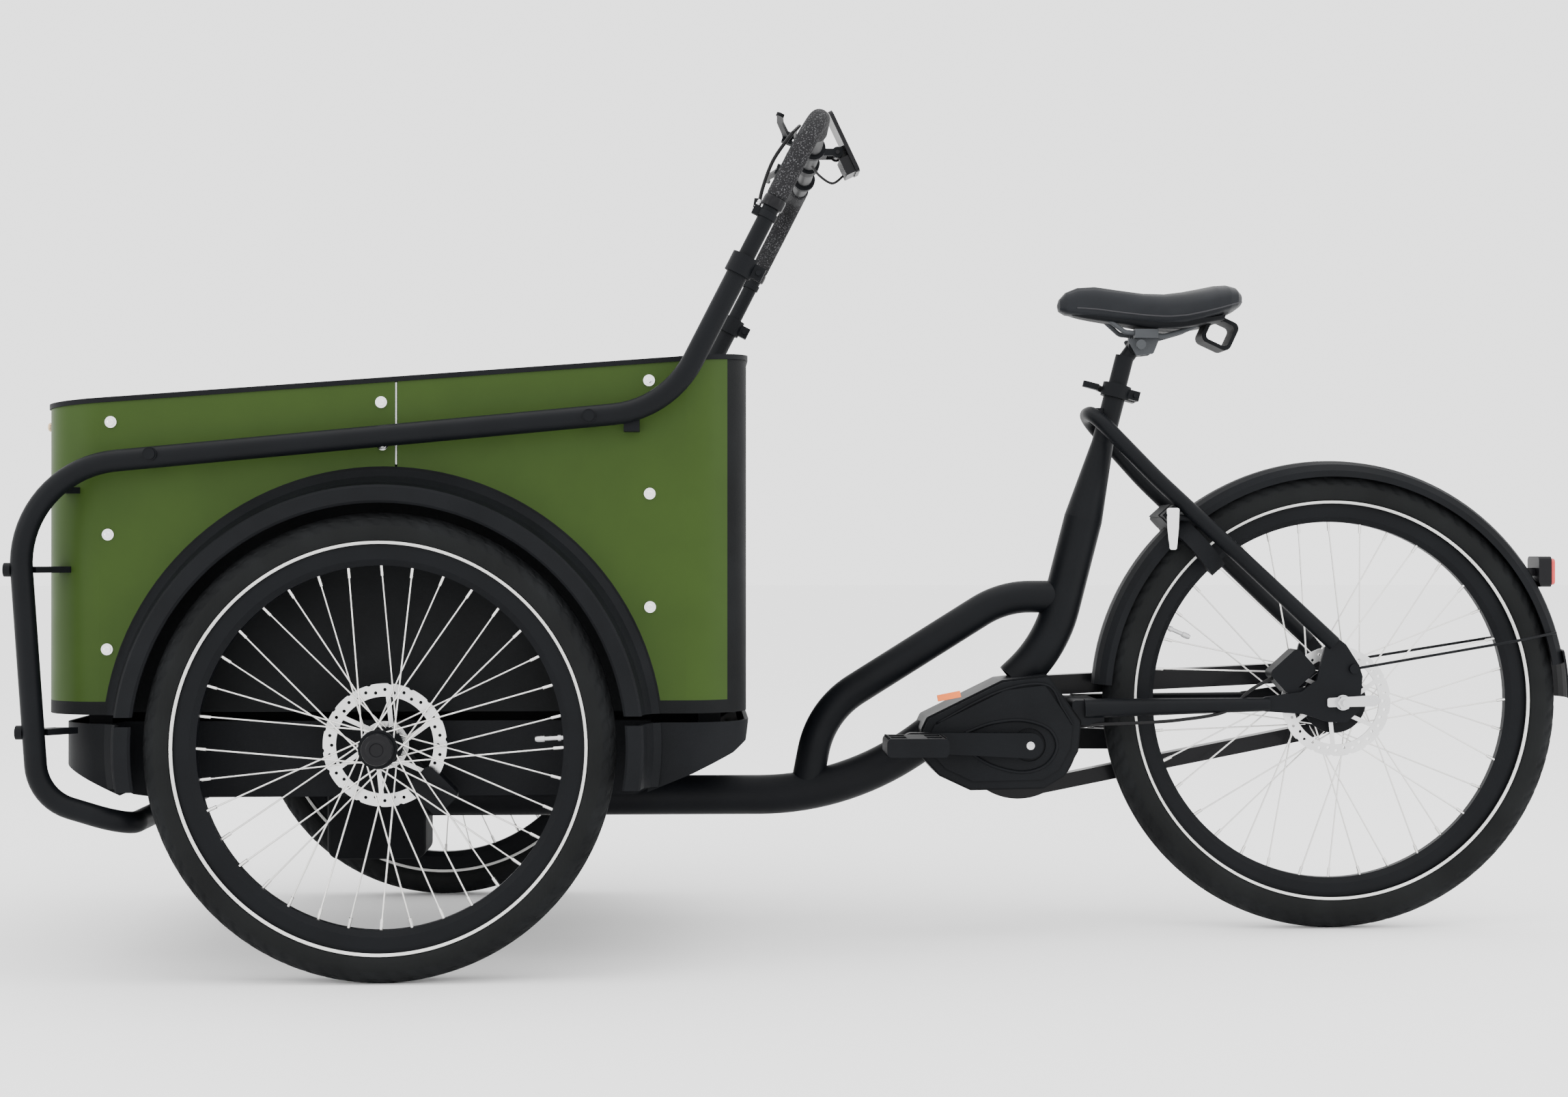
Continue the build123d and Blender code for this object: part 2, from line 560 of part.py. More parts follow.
lever = extrude(lever_plan + lever_eye, amount=9)
lever = lever - Pos(27, 25, -1) * extrude(Circle(2.55), amount=12)
lever_solid = collar_plane * Pos(0, 0, 5.5) * lever
parts["seat_lever"] = max(lever_solid.solids(), key=lambda s: s.volume)
hinge_pin = collar_plane * Pos(27, 25, 4) * Cylinder(2.5, 12, align=low)
hinge_lug = collar_plane * Pos(27, 20, 2) * extrude(RectangleRounded(12, 22, 3), amount=3)
parts["seat_clamp"] = collar + hinge_pin + hinge_lug


def saddle_section(x, half, z0, z1, r):
    plane = Plane(origin=(x, 0, (z0 + z1) / 2), x_dir=(0, 1, 0), z_dir=(1, 0, 0))
    return plane * RectangleRounded(2 * half, z1 - z0, r)


saddle = loft([saddle_section(538, 13, 905, 918, 6), saddle_section(552, 21, 902, 933, 11),
               saddle_section(583, 25, 897, 938, 13), saddle_section(640, 34, 889, 931, 14),
               saddle_section(690, 55, 884, 929, 15), saddle_section(735, 82, 887, 936, 17),
               saddle_section(766, 90, 892, 940, 18), saddle_section(789, 78, 901, 933, 13),
               saddle_section(796, 60, 906, 924, 8)])
under = loft([saddle_section(556, 16, 897, 912, 6), saddle_section(583, 20, 891, 908, 7),
              saddle_section(640, 28, 882, 900, 8), saddle_section(690, 46, 876, 896, 9),
              saddle_section(735, 70, 880, 900, 9), saddle_section(768, 76, 886, 907, 9)])
base = under - saddle
parts["saddle_cover"] = saddle
rails = None
for s in (-1, 1):
    one = rod([(600, s * 12, 898), (632, s * 22, 872), (690, s * 22, 866), (724, s * 22, 876),
               (764, s * 34, 897)], [12, 25, 25, 12], 7)
    rails = one if rails is None else rails + one
plate_face = outline([(636, 863), (684, 863), (675, 841), (650, 838)], 3)
plates = both(prism(plate_face, 14, 18)) + both(block(646, 680, 14, 30, 863, 876))
clamp_bolt = cyl_y(4, -34, 34, HEAD_X, HEAD_Z) + both(cyl_y(7, 30, 35, HEAD_X, HEAD_Z))
carrier = rails + plates + clamp_bolt
grab_face = RectangleRounded(46, 44, 10) - RectangleRounded(35, 33, 7)
grab = prism(Pos(772, 872) * Rot(0, 0, -25) * grab_face, -24, 24)
base = max(base.solids(), key=lambda s: s.volume) + grab
base = base + block(756, 778, -20, 20, 888, 899)
base = base - saddle
base = max(base.solids(), key=lambda s: s.volume)
parts["saddle_base"] = base
parts["saddle_rails"] = carrier - saddle - base

# ---- front chassis ------------------------------------------------------------------
beam = block(-428, -364, -318, 318, 266, 330)
housing = Pos(PIVOT_X, 0, 227.5) * Cylinder(33, 103, align=low)
rails_long = both(block(-790, 40, 190, 220, 311, 341))
cross_front = block(-790, -760, -300, 300, 311, 341)
cross_rear = block(10, 40, -300, 300, 311, 341)
chassis = beam + housing + rails_long + cross_front + cross_rear
# square tube: a 4 mm wall on the beam, 3 mm on the rails, drained from below
cores = both(block(-424, -368, 40, 314, 270, 326)) + both(block(-757, 7, 193, 217, 314, 338))
cores = cores + both(block(-787, -763, 0, 180, 314, 338)) + both(block(13, 37, 0, 180, 314, 338))
drains = both(Pos(-396, 120, 268) * Cylinder(5, 12)) + both(Pos(-600, 205, 312) * Cylinder(4, 8))
drains = drains + Pos(-775, 0, 312) * Cylinder(4, 8) + Pos(25, 0, 312) * Cylinder(4, 8)
chassis = chassis - cores - drains
chassis = chassis + both(cyl_y(26, 318, 326, FRONT_AXLE_X, FRONT_WHEEL_R))
chassis = chassis + both(cyl_y(10, 318, 437, FRONT_AXLE_X, FRONT_WHEEL_R))
king_bore = Pos(PIVOT_X, 0, 200) * Cylinder(KING_PIN_R + RUN_CLEAR, 128, align=low)
chassis = chassis - king_bore
parts["chassis_frame"] = chassis

tray_pts = [(-818, TRAY_TOP_Z), (-815, 273), (-756, 246.5), (-728, 233.5), (-695, 229),
            (-75, 231), (-45, 243), (2, 262), (56, 288), (73, 302), (77, TRAY_TOP_Z)]
tray_in = [(-813, TRAY_TOP_Z + 9), (-811, 276), (-754, 250.5), (-727, 237.5), (-695, 233),
           (-76, 235), (-47, 247), (0, 266), (53, 292), (69, 305), (72, TRAY_TOP_Z + 9)]
plan_len = 77.0 + 818.0
tray_plan = RectangleRounded(plan_len, 2 * TRAY_HALF_W, 78)
tray_plan_in = RectangleRounded(plan_len - 8, 2 * TRAY_HALF_W - 8, 74)
tray_mid = (77.0 - 818.0) / 2
tray = prism(outline(tray_pts), -TRAY_HALF_W, TRAY_HALF_W)
tray = tray & (Pos(tray_mid, 0, 200) * extrude(tray_plan, amount=200))
void = prism(outline(tray_in), -TRAY_HALF_W + 4, TRAY_HALF_W - 4)
void = void & (Pos(tray_mid, 0, 200) * extrude(tray_plan_in, amount=200))
well = both(cyl_y(WELL_R - 1, WELL_HALF_W, 440, FRONT_AXLE_X, FRONT_WHEEL_R))
well_wall = both(cyl_y(WELL_R + 3, WELL_HALF_W - 4, 380, FRONT_AXLE_X, FRONT_WHEEL_R))
void = void - well_wall
tray = tray - void - well

arch_pts = [(358, 364), (358, 371), (348, 378), (340, 392), (336, 412), (336, 424), (333, 427),
            (316, 427), (313, 424), (313, 420), (331, 420), (332, 408), (336, 390), (344, 374),
            (350, 368), (350, 364)]
arch_full = both(turned(outline(arch_pts), -20, 200, FRONT_AXLE_X, 0, FRONT_WHEEL_R))
arches = arch_full & block(-900, 200, -500, 500, BOX_BOTTOM_Z, 800)
low_arch = arch_full & block(-900, 200, -500, 500, 246, TRAY_TOP_Z)
web = both(cyl_y(ARCH_R, 358, 366, FRONT_AXLE_X, FRONT_WHEEL_R)
           - cyl_y(WELL_R - 1, 350, 370, FRONT_AXLE_X, FRONT_WHEEL_R))
web = web & (Pos(tray_mid, 0, 200) * extrude(tray_plan, amount=200))
web = web & prism(outline(tray_pts), -TRAY_HALF_W, TRAY_HALF_W)
tray = tray + web + low_arch
tray = tray - (Pos(PIVOT_X, 0, 200) * Cylinder(40, 100, align=low))
tray = tray - beam - both(cyl_y(27, 300, 330, FRONT_AXLE_X, FRONT_WHEEL_R))
tray = tray - rails_long - cross_front - cross_rear
parts["lower_tray"] = max(tray.solids(), key=lambda s: s.volume)
parts["wheel_arches"] = arches

# ---- box ----------------------------------------------------------------------------
outer = box_prism(0, BOX_BOTTOM_Z, 830) & under_top(0)
inner = box_prism(BOX_WALL, BOX_FLOOR_Z, 830)
box_well = both(cyl_y(WELL_R, WELL_HALF_W, 400, FRONT_AXLE_X, FRONT_WHEEL_R))
box_well_wall = both(cyl_y(WELL_R + 6, WELL_HALF_W - 6, 400, FRONT_AXLE_X, FRONT_WHEEL_R))
tub = outer - (inner - box_well_wall) - box_well
skin = (box_prism(0, PANEL_BOTTOM_Z, 830) - box_prism(PANEL_T, 300, 840)) & under_top(0)
skin = skin & block(-900, PANEL_REAR_X, -400, 400, 300, 840)
skin = skin - both(cyl_y(ARCH_R + 3, 330, 400, FRONT_AXLE_X, FRONT_WHEEL_R))
arch_seat = both(cyl_y(ARCH_R, 364, 372, FRONT_AXLE_X, FRONT_WHEEL_R))
tub = tub - skin - arch_seat
parts["box_tub"] = max(tub.solids(), key=lambda s: s.volume)
front_zone = block(-900, -760, -200, 200, 300, 840)
seam_zone = both(block(PANEL_SEAM_X - 1.5, PANEL_SEAM_X + 1.5, 300, 400, 300, 840))
front_gap = both(block(-900, -760, 198.5, 201.5, 300, 840))
skin_cut = skin - seam_zone - front_gap
parts["front_panel"] = skin_cut & front_zone
side_zone = block(-900, PANEL_SEAM_X, -400, 400, 300, 840) - front_zone
parts["front_side_panels"] = skin_cut & side_zone
parts["rear_side_panels"] = skin_cut & block(PANEL_SEAM_X, 100, -400, 400, 300, 840)
trim = box_prism(-2, 700, 830) - box_prism(8, 690, 840)
parts["rim_trim"] = (trim & under_top(RIM_TRIM_H)) - under_top(0)

screw_spots = [(-745.6, 718), (-749, 573), (-750, 425.4), (-399.7, 744.4), (-398, 689.7),
               (-54, 773.6), (-53, 626.5), (-52.5, 479.3)]
screws = None
for (x, z) in screw_spots:
    head_s = cyl_y(7.5, 370, 371.5, x, z) + cyl_y(5, 371.5, 374, x, z)
    shank = cyl_y(2.5, 363, 370, x, z)
    one = both(head_s + shank)
    screws = one if screws is None else screws + one
for name in ("front_side_panels", "rear_side_panels", "box_tub"):
    parts[name] = parts[name] - screws
parts["panel_screws"] = screws

lamps = None
for s in (-1, 1):
    for dy in (-10, 10):
        y = s * 250 + dy
        barrel = Pos(-843, y, 717) * Rot(0, 90, 0) * Cylinder(8, 10)
        cone_l = Pos(-850, y, 717) * Rot(0, 90, 0) * Cylinder(6, 4)
        one = barrel + cone_l
        lamps = one if lamps is None else lamps + one
lamps = lamps + both(Pos(-841.5, 250, 717) * Box(3, 44, 22)) - outer
parts["front_lamps"] = lamps

# ---- handle rails -------------------------------------------------------------------
rail_top = 922.0
rail_half = [(-715, 0, 202), (-715, RAIL_HALF_W, 202), (-829, RAIL_HALF_W, 237),
             (-859, RAIL_HALF_W, 654.8), (bar_x(734.3), RAIL_HALF_W, 734.3),
             (bar_x(rail_top), RAIL_HALF_W, rail_top)]
rail_bend = [45, 62, 131, 130]
rail_pts = [(p[0], -p[1], p[2]) for p in reversed(rail_half[1:])] + rail_half[1:]
rail_radii = list(reversed(rail_bend)) + rail_bend
rails_solid = rod(rail_pts, rail_radii, RAIL_OD)
rails_tube = tube(rail_pts, rail_radii, RAIL_OD, RAIL_ID)
feet = both(block(-730, -700, 195, 215, 208, 260)) - rails_solid - prism(
    outline(tray_pts), -TRAY_HALF_W, TRAY_HALF_W)
feet = feet & block(-740, -690, -300, 300, 200, 234)
parts["handle_rails"] = rails_tube + feet

fix = None
for (x, z) in [(-685.6, 675.0), (-130, 724.7)]:
    spacer = cyl_y(8, 370, 391, x, z)
    head_b = cyl_y(9, 414.5, 418, x, z) + cyl_y(7, 418, 420, x, z)
    one = both(spacer + head_b)
    fix = one if fix is None else fix + one
for (x, z) in [(-850.2, 528), (-835.2, 321)]:
    head_f = Pos(x - 17, RAIL_HALF_W, z) * Rot(0, 90, 0) * Cylinder(9, 9)
    arm = Pos(x + 32, RAIL_HALF_W - 38, z) * Rot(0, 0, -50) * Box(74, 26, 8)
    fix = fix + both(head_f + arm)
strut = Pos(-811 + 8, RAIL_HALF_W - 30, 630) * Rot(0, 0, -60) * Box(60, 24, 8)
hook = block(-86, -66, 370, 398, 706, 722)
fix = fix + both(strut) + both(hook)
fix = fix - rails_solid - outer - arch_full
fix = fix - prism(outline(tray_pts), -TRAY_HALF_W, TRAY_HALF_W)
fix = fix - (box_prism(-2.05, 690, 840) & under_top(RIM_TRIM_H + 0.1))
keep = [s for s in fix.solids() if s.volume > 60]
parts["rail_fixings"] = Compound(children=keep)

lean_axis = Vector(BAR_LEAN, 0, 1).normalized()
clamps = None
for s in (-1, 1):
    plane = Plane(origin=(bar_x(908), s * RAIL_HALF_W, 908), z_dir=(BAR_LEAN, 0, 1))
    ring = plane * Cylinder(18, 26, align=low)
    ears = plane * Pos(22, 0, 13) * Box(18, 16, 18)
    pin_c = plane * Pos(24, 0, 13) * Rot(90, 0, 0) * Cylinder(3.4, 26)
    one = ring + ears - plane * Pos(22, 0, 13) * Box(20, 2.4, 30) + pin_c
    one = one - plane * Pos(0, 0, -20) * Cylinder(BAR_OD / 2 + 0.075, 120, align=low)
    clamps = one if clamps is None else clamps + one
clamps = clamps - rails_solid
parts["height_clamps"] = clamps

# ---- handlebar ----------------------------------------------------------------------
bar_low = 845.0
BAR_CORNER_Z = 1122.0
BAR_MID_X = 172.0
BAR_MID_Z = 1116.0
BAR_MID_Y = 170.0
corner_x = bar_x(BAR_CORNER_Z)
hoop_pts = [(bar_x(bar_low), -RAIL_HALF_W, bar_low), (corner_x, -RAIL_HALF_W, BAR_CORNER_Z),
            (BAR_MID_X, -BAR_MID_Y, BAR_MID_Z), (BAR_MID_X, BAR_MID_Y, BAR_MID_Z),
            (corner_x, RAIL_HALF_W, BAR_CORNER_Z), (bar_x(bar_low), RAIL_HALF_W, bar_low)]
GRIP_END_Y = 250.0
inward = (RAIL_HALF_W - GRIP_END_Y) / (RAIL_HALF_W - BAR_MID_Y)
grip_x = corner_x + inward * (BAR_MID_X - corner_x)
grip_z = BAR_CORNER_Z + inward * (BAR_MID_Z - BAR_CORNER_Z)
hoop_r = [72, 400, 400, 72]
hoop_solid = rod(hoop_pts, hoop_r, BAR_OD)
parts["handlebar_tube"] = tube(hoop_pts, hoop_r, BAR_OD, BAR_OD - 4)
grips = None
for s in (-1, 1):
    g = [(bar_x(1006), s * RAIL_HALF_W, 1006), (corner_x, s * RAIL_HALF_W, BAR_CORNER_Z),
         (grip_x, s * GRIP_END_Y, grip_z)]
    one = rod(g, [72], 28) + cyl_between(g[0], (bar_x(994), s * RAIL_HALF_W, 994), 14.6)
    grips = one if grips is None else grips + one
parts["grips"] = grips - hoop_solid

fittings = None
for s in (-1, 1):
    z = 984
    plane = Plane(origin=(bar_x(z), s * RAIL_HALF_W, z), z_dir=(BAR_LEAN, 0, 1))
    boss = plane * Pos(-15, 0, 0) * Box(10, 10, 12) + plane * Cylinder(13, 9)
    stop = plane * Pos(-19, 0, 5) * Rot(0, -18, 0) * Cylinder(3.2, 18)
    fittings = (boss + stop) if fittings is None else fittings + boss + stop
PERCH_Y = 140.0
centre = Plane(origin=(BAR_MID_X, 0, BAR_MID_Z), z_dir=(0, 1, 0))
fittings = fittings + centre * Cylinder(15.5, 30)
perch_out = Vector(-0.93, 0, 0.3676)
for s in (-1, 1):
    plane = Plane(origin=(BAR_MID_X, s * PERCH_Y, BAR_MID_Z), x_dir=perch_out, z_dir=(0, 1, 0))
    clamp_ring = plane * Cylinder(16.5, 14)
    perch = plane * Pos(29, 0, 0) * Box(34, 16, 15)
    hole = plane * Pos(38, 0, 0) * Rot(90, 0, 0) * Cylinder(3 + RUN_CLEAR, 40)
    slot = plane * Pos(40, 0, 0) * Box(22, 5.4, 60)
    fittings = fittings + (clamp_ring + perch - slot - hole)
TILT_X = 213.0
TILT_Z = 1132.0
fork = block(168, TILT_X, -20, 20, 1127, 1137) - block(198, 240, -14, 14, 1100, 1160)
for s in (-1, 1):
    fork = fork + cyl_y(8, s * 14, s * 20, TILT_X, TILT_Z)
fittings = fittings + fork - cyl_y(3 + RUN_CLEAR, -30, 30, TILT_X, TILT_Z)
fittings = fittings - hoop_solid - parts["grips"]
keep = [s for s in fittings.solids() if s.volume > 60]
parts["bar_fittings"] = Compound(children=keep)

for s, side in ((-1, "left"), (1, "right")):
    plane = Plane(origin=(BAR_MID_X, s * PERCH_Y, BAR_MID_Z), x_dir=perch_out, z_dir=(0, 1, 0))
    flat = Plane(origin=plane.origin, x_dir=perch_out, z_dir=perch_out.cross(Vector(0, s, 0)))
    blade_pts = [(32, -8), (45, -8), (49, 30), (58, 90), (60, 138), (53, 140), (50, 92), (41, 40),
                 (32, 8)]
    blade_face = fillet(make_face(Polyline(*blade_pts, close=True)).vertices(), 2)
    blade = flat * extrude(blade_face, amount=2.4, both=True)
    blade = blade + flat * Pos(56, 139) * Cylinder(5.5, 4.8)
    pin = flat * Pos(38, 0, 0) * Cylinder(3, 15)
    parts["brake_lever_" + side] = (blade + pin) - hoop_solid

plate = fillet(Box(6, 62, 97).edges().filter_by(Axis.X), 9)
display = Pos(222, 0, 1147) * Rot(0, -25.5, 0) * plate
display = display + Pos(229, 0, 1113) * Rot(0, -25.5, 0) * Box(18, 52, 26)
display = display + Pos(221, 0, 1134) * Rot(0, -25.5, 0) * Box(14, 24, 16)
display = display + cyl_y(6.5, -13.7, 13.7, TILT_X, TILT_Z) + cyl_y(3, -22, 22, TILT_X, TILT_Z)
parts["display"] = display

# ---- front calipers -----------------------------------------------------------------
front_cal = Pos(-333, 366, 242) * Rot(0, 45, 0) * fillet(Box(56, 40, 42).edges().filter_by(Axis.Y), 8)
front_cal = front_cal - cyl_y(83, 357.6, 365.4, FRONT_AXLE_X, FRONT_WHEEL_R)
front_cal = front_cal & block(-500, 0, 340, 374.4, 0, 400)
reach_arm = block(-378, -352, 318, 346, 262, 276)
plate_arm = Pos(-350, 346, 262) * Rot(0, 45, 0) * Box(60, 6, 20)
front_cal = front_cal + plate_arm + reach_arm - chassis
front_cal = front_cal - cyl_y(83, 357.6, 365.4, FRONT_AXLE_X, FRONT_WHEEL_R)
parts["front_calipers"] = both(front_cal)

def merged(new_name, *names):
    solids = []
    for old in names:
        solids.extend(parts.pop(old).solids())
    parts[new_name] = Compound(children=solids)


for where in ("front_left", "front_right", "rear"):
    merged(where + "_hub", where + "_hub", where + "_rotor")
merged("side_panels", "front_side_panels", "rear_side_panels")
merged("rear_fender", "rear_fender", "mud_flap")
merged("dropouts", "dropouts", "rear_axle")
merged("rail_fixings", "rail_fixings", "height_clamps")

os.makedirs("parts", exist_ok=True)
for name, shape in parts.items():
    solids = shape.solids()
    group = solids[0] if len(solids) == 1 else Compound(children=list(solids))
    placed = Pos(DATUM_SHIFT, 0, 0) * group
    placed.label = name
    export_step(placed, "parts/" + name + ".step")
    bb = placed.bounding_box()
    print(name, len(solids), round(sum(s.volume for s in solids)), bb.min, bb.max)
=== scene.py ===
import json
import math
import bpy
from mathutils import Matrix, Vector, noise

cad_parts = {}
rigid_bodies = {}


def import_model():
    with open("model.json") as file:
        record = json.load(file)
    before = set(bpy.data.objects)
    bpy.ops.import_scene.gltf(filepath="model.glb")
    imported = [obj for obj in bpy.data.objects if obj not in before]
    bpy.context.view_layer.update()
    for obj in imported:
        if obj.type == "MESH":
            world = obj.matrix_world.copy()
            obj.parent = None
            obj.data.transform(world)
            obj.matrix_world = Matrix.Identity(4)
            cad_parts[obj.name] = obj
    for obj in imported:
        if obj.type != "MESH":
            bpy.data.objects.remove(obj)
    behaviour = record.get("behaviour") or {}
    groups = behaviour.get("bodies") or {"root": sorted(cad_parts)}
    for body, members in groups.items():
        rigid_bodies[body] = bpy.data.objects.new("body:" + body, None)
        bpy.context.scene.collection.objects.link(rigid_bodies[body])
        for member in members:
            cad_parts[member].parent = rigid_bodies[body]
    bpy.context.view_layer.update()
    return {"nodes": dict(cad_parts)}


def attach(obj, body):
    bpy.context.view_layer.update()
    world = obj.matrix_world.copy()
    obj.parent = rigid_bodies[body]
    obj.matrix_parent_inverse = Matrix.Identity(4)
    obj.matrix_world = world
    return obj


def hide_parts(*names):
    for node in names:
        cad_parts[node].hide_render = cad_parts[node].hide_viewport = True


# Cargo tricycle, metres. Stations are given in millimetres from the CAD's datum and
# turned into the shared frame by at().
for old in list(bpy.data.objects):
    bpy.data.objects.remove(old)
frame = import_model()
NODE = frame["nodes"]
DATUM = -209.5
FRONT_X = -395.7
TRACK = 402.5
FRONT_R = 300.5
REAR_X = 937.4
REAR_R = 334.5
BAR_LEAN = 0.51
BAR_SIDE = 402
BAR_CORNER_Z = 1122
BAR_BEND = 72
BAR_MID = (172, 170, 1116)
GRIP_LOW_Z = 1006
GRIP_END = (170.9, 250, 1118.1)
DISPLAY_TILT = -25.5


def at(x, y, z):
    return Vector(((x + DATUM) / 1000, y / 1000, z / 1000))


def bar_x(z):
    return 3.0 + BAR_LEAN * (z - 797.0)


# ---- materials ----------------------------------------------------------------------
def material(name, color, rough, metal=0.0, grain=0.0, grain_size=400.0, mottle=0.0,
             coat=0.0, rough_var=0.06, streak=None, alpha_glass=False, second=None,
             second_amount=0.5, wave=0.0, wave_size=60.0):
    m = bpy.data.materials.new(name)
    m.use_nodes = True
    nt = m.node_tree
    b = nt.nodes["Principled BSDF"]
    b.inputs["Base Color"].default_value = (*color, 1)
    b.inputs["Roughness"].default_value = rough
    b.inputs["Metallic"].default_value = metal
    if metal == 0 and max(color) < 0.12:
        b.inputs["Specular IOR Level"].default_value = 0.1
    if coat:
        b.inputs["Coat Weight"].default_value = coat
        b.inputs["Coat Roughness"].default_value = 0.12
    if alpha_glass:
        b.inputs["Transmission Weight"].default_value = 0.85
        b.inputs["IOR"].default_value = 1.45
    coords = nt.nodes.new("ShaderNodeTexCoord")
    mapping = nt.nodes.new("ShaderNodeMapping")
    nt.links.new(coords.outputs["Object"], mapping.inputs["Vector"])
    if streak:
        mapping.inputs["Scale"].default_value = streak
    if rough_var:
        big = nt.nodes.new("ShaderNodeTexNoise")
        big.inputs["Scale"].default_value = 9
        big.inputs["Detail"].default_value = 6
        nt.links.new(mapping.outputs["Vector"], big.inputs["Vector"])
        spread = nt.nodes.new("ShaderNodeMapRange")
        spread.inputs["From Min"].default_value = 0.3
        spread.inputs["From Max"].default_value = 0.7
        spread.inputs["To Min"].default_value = max(0.02, rough - rough_var)
        spread.inputs["To Max"].default_value = min(1.0, rough + rough_var)
        nt.links.new(big.outputs["Fac"], spread.inputs["Value"])
        nt.links.new(spread.outputs["Result"], b.inputs["Roughness"])
    if mottle or second:
        spots = nt.nodes.new("ShaderNodeTexNoise")
        spots.inputs["Scale"].default_value = grain_size if second else 14
        spots.inputs["Detail"].default_value = 3
        nt.links.new(mapping.outputs["Vector"], spots.inputs["Vector"])
        ramp = nt.nodes.new("ShaderNodeValToRGB")
        dark = tuple(c * (1 - mottle) for c in color)
        light = second if second else tuple(min(1, c * (1 + mottle)) for c in color)
        ramp.color_ramp.elements[0].position = second_amount if second else 0.35
        ramp.color_ramp.elements[1].position = second_amount + 0.04 if second else 0.65
        ramp.color_ramp.elements[0].color = (*dark, 1)
        ramp.color_ramp.elements[1].color = (*light, 1)
        nt.links.new(spots.outputs["Fac"], ramp.inputs["Fac"])
        nt.links.new(ramp.outputs["Color"], b.inputs["Base Color"])
    if grain or wave:
        bump = nt.nodes.new("ShaderNodeBump")
        bump.inputs["Strength"].default_value = grain if grain else wave
        bump.inputs["Distance"].default_value = 0.0004
        if wave:
            tex = nt.nodes.new("ShaderNodeTexWave")
            tex.inputs["Scale"].default_value = wave_size
            tex.inputs["Distortion"].default_value = 1.2
            nt.links.new(tex.outputs["Fac"], bump.inputs["Height"])
        else:
            tex = nt.nodes.new("ShaderNodeTexNoise")
            tex.inputs["Scale"].default_value = grain_size
            tex.inputs["Detail"].default_value = 2
            nt.links.new(tex.outputs["Fac"], bump.inputs["Height"])
        nt.links.new(mapping.outputs["Vector"], tex.inputs["Vector"])
        nt.links.new(bump.outputs["Normal"], b.inputs["Normal"])
    return m


POWDER = material("powder_black", (0.0025, 0.003, 0.004), 0.48, 0.0, grain=0.16,
                  grain_size=900, rough_var=0.05, mottle=0.12)
MOULD = material("moulded_black", (0.0035, 0.004, 0.005), 0.6, 0.0, grain=0.35,
                 grain_size=700, rough_var=0.07, mottle=0.15)
TUB = material("tub_black", (0.004, 0.0045, 0.005), 0.65, grain=0.4, grain_size=420, mottle=0.2)
GLOSS = material("gloss_black", (0.005, 0.005, 0.006), 0.3, coat=0.06, rough_var=0.04, grain=0.02,
                 grain_size=60)
PANEL = material("panel_green", (0.026, 0.05, 0.0085), 0.45, rough_var=0.035,
                 grain=0.05, grain_size=1300, mottle=0.035)
STEEL = material("steel", (0.56, 0.56, 0.57), 0.26, 1.0, rough_var=0.08, streak=(1, 1, 1),
                 grain=0.05, grain_size=300)
BRUSHED = material("brushed", (0.62, 0.62, 0.63), 0.34, 1.0, grain=0.12, grain_size=120,
                   streak=(1, 14, 1))
CHROME = material("chrome", (0.78, 0.78, 0.79), 0.09, 1.0, rough_var=0.04, grain=0.02,
                  grain_size=90)
ALLOY = material("alloy", (0.5, 0.5, 0.51), 0.38, 1.0, grain=0.1, grain_size=500)
ROTOR = material("rotor_steel", (0.7, 0.7, 0.7), 0.36, 0.85, grain=0.1, grain_size=260,
                 mottle=0.08)
SPOKE = material("spoke_steel", (0.72, 0.71, 0.69), 0.22, 1.0, rough_var=0.06, grain=0.03,
                 grain_size=200)
TYRE = material("tyre_rubber", (0.006, 0.0065, 0.007), 0.75, grain=0.3, grain_size=700,
                mottle=0.25)
WALL = material("tyre_wall", (0.0045, 0.005, 0.0052), 0.6, wave=0.12, wave_size=160, mottle=0.2)
BAND = material("reflective_band", (0.62, 0.62, 0.6), 0.3, 0.0, grain=0.2, grain_size=1500,
                mottle=0.07)
FOAM = material("speckled_foam", (0.013, 0.013, 0.014), 0.85, grain=0.9, grain_size=520,
                second=(0.075, 0.075, 0.078), second_amount=0.58)
SKIN = material("saddle_skin", (0.011, 0.012, 0.014), 0.46, grain=0.3, grain_size=620,
                mottle=0.15)
THREAD = material("stitch", (0.035, 0.035, 0.038), 0.6, grain=0.3, grain_size=900)
RUBBER = material("hose_rubber", (0.009, 0.009, 0.0095), 0.4, grain=0.15, grain_size=600)
RED = material("red_lens", (0.55, 0.012, 0.01), 0.13, coat=0.5, rough_var=0.04, wave=0.35,
               wave_size=90)
WARM = material("warm_lens", (0.7, 0.5, 0.28), 0.18, coat=0.4, rough_var=0.03, wave=0.2,
                wave_size=80)
ORANGE = material("badge_orange", (0.85, 0.17, 0.015), 0.4, rough_var=0.04, grain=0.04,
                  grain_size=300)
GREY = material("grey_plastic", (0.045, 0.048, 0.052), 0.5, grain=0.1, grain_size=500)
SCREEN = material("screen_glass", (0.008, 0.009, 0.012), 0.18, coat=0.12, rough_var=0.02,
                  grain=0.01, grain_size=10)
FLOORMAT = material("floor_board", (0.02, 0.02, 0.021), 0.7, wave=0.6, wave_size=45, mottle=0.2)

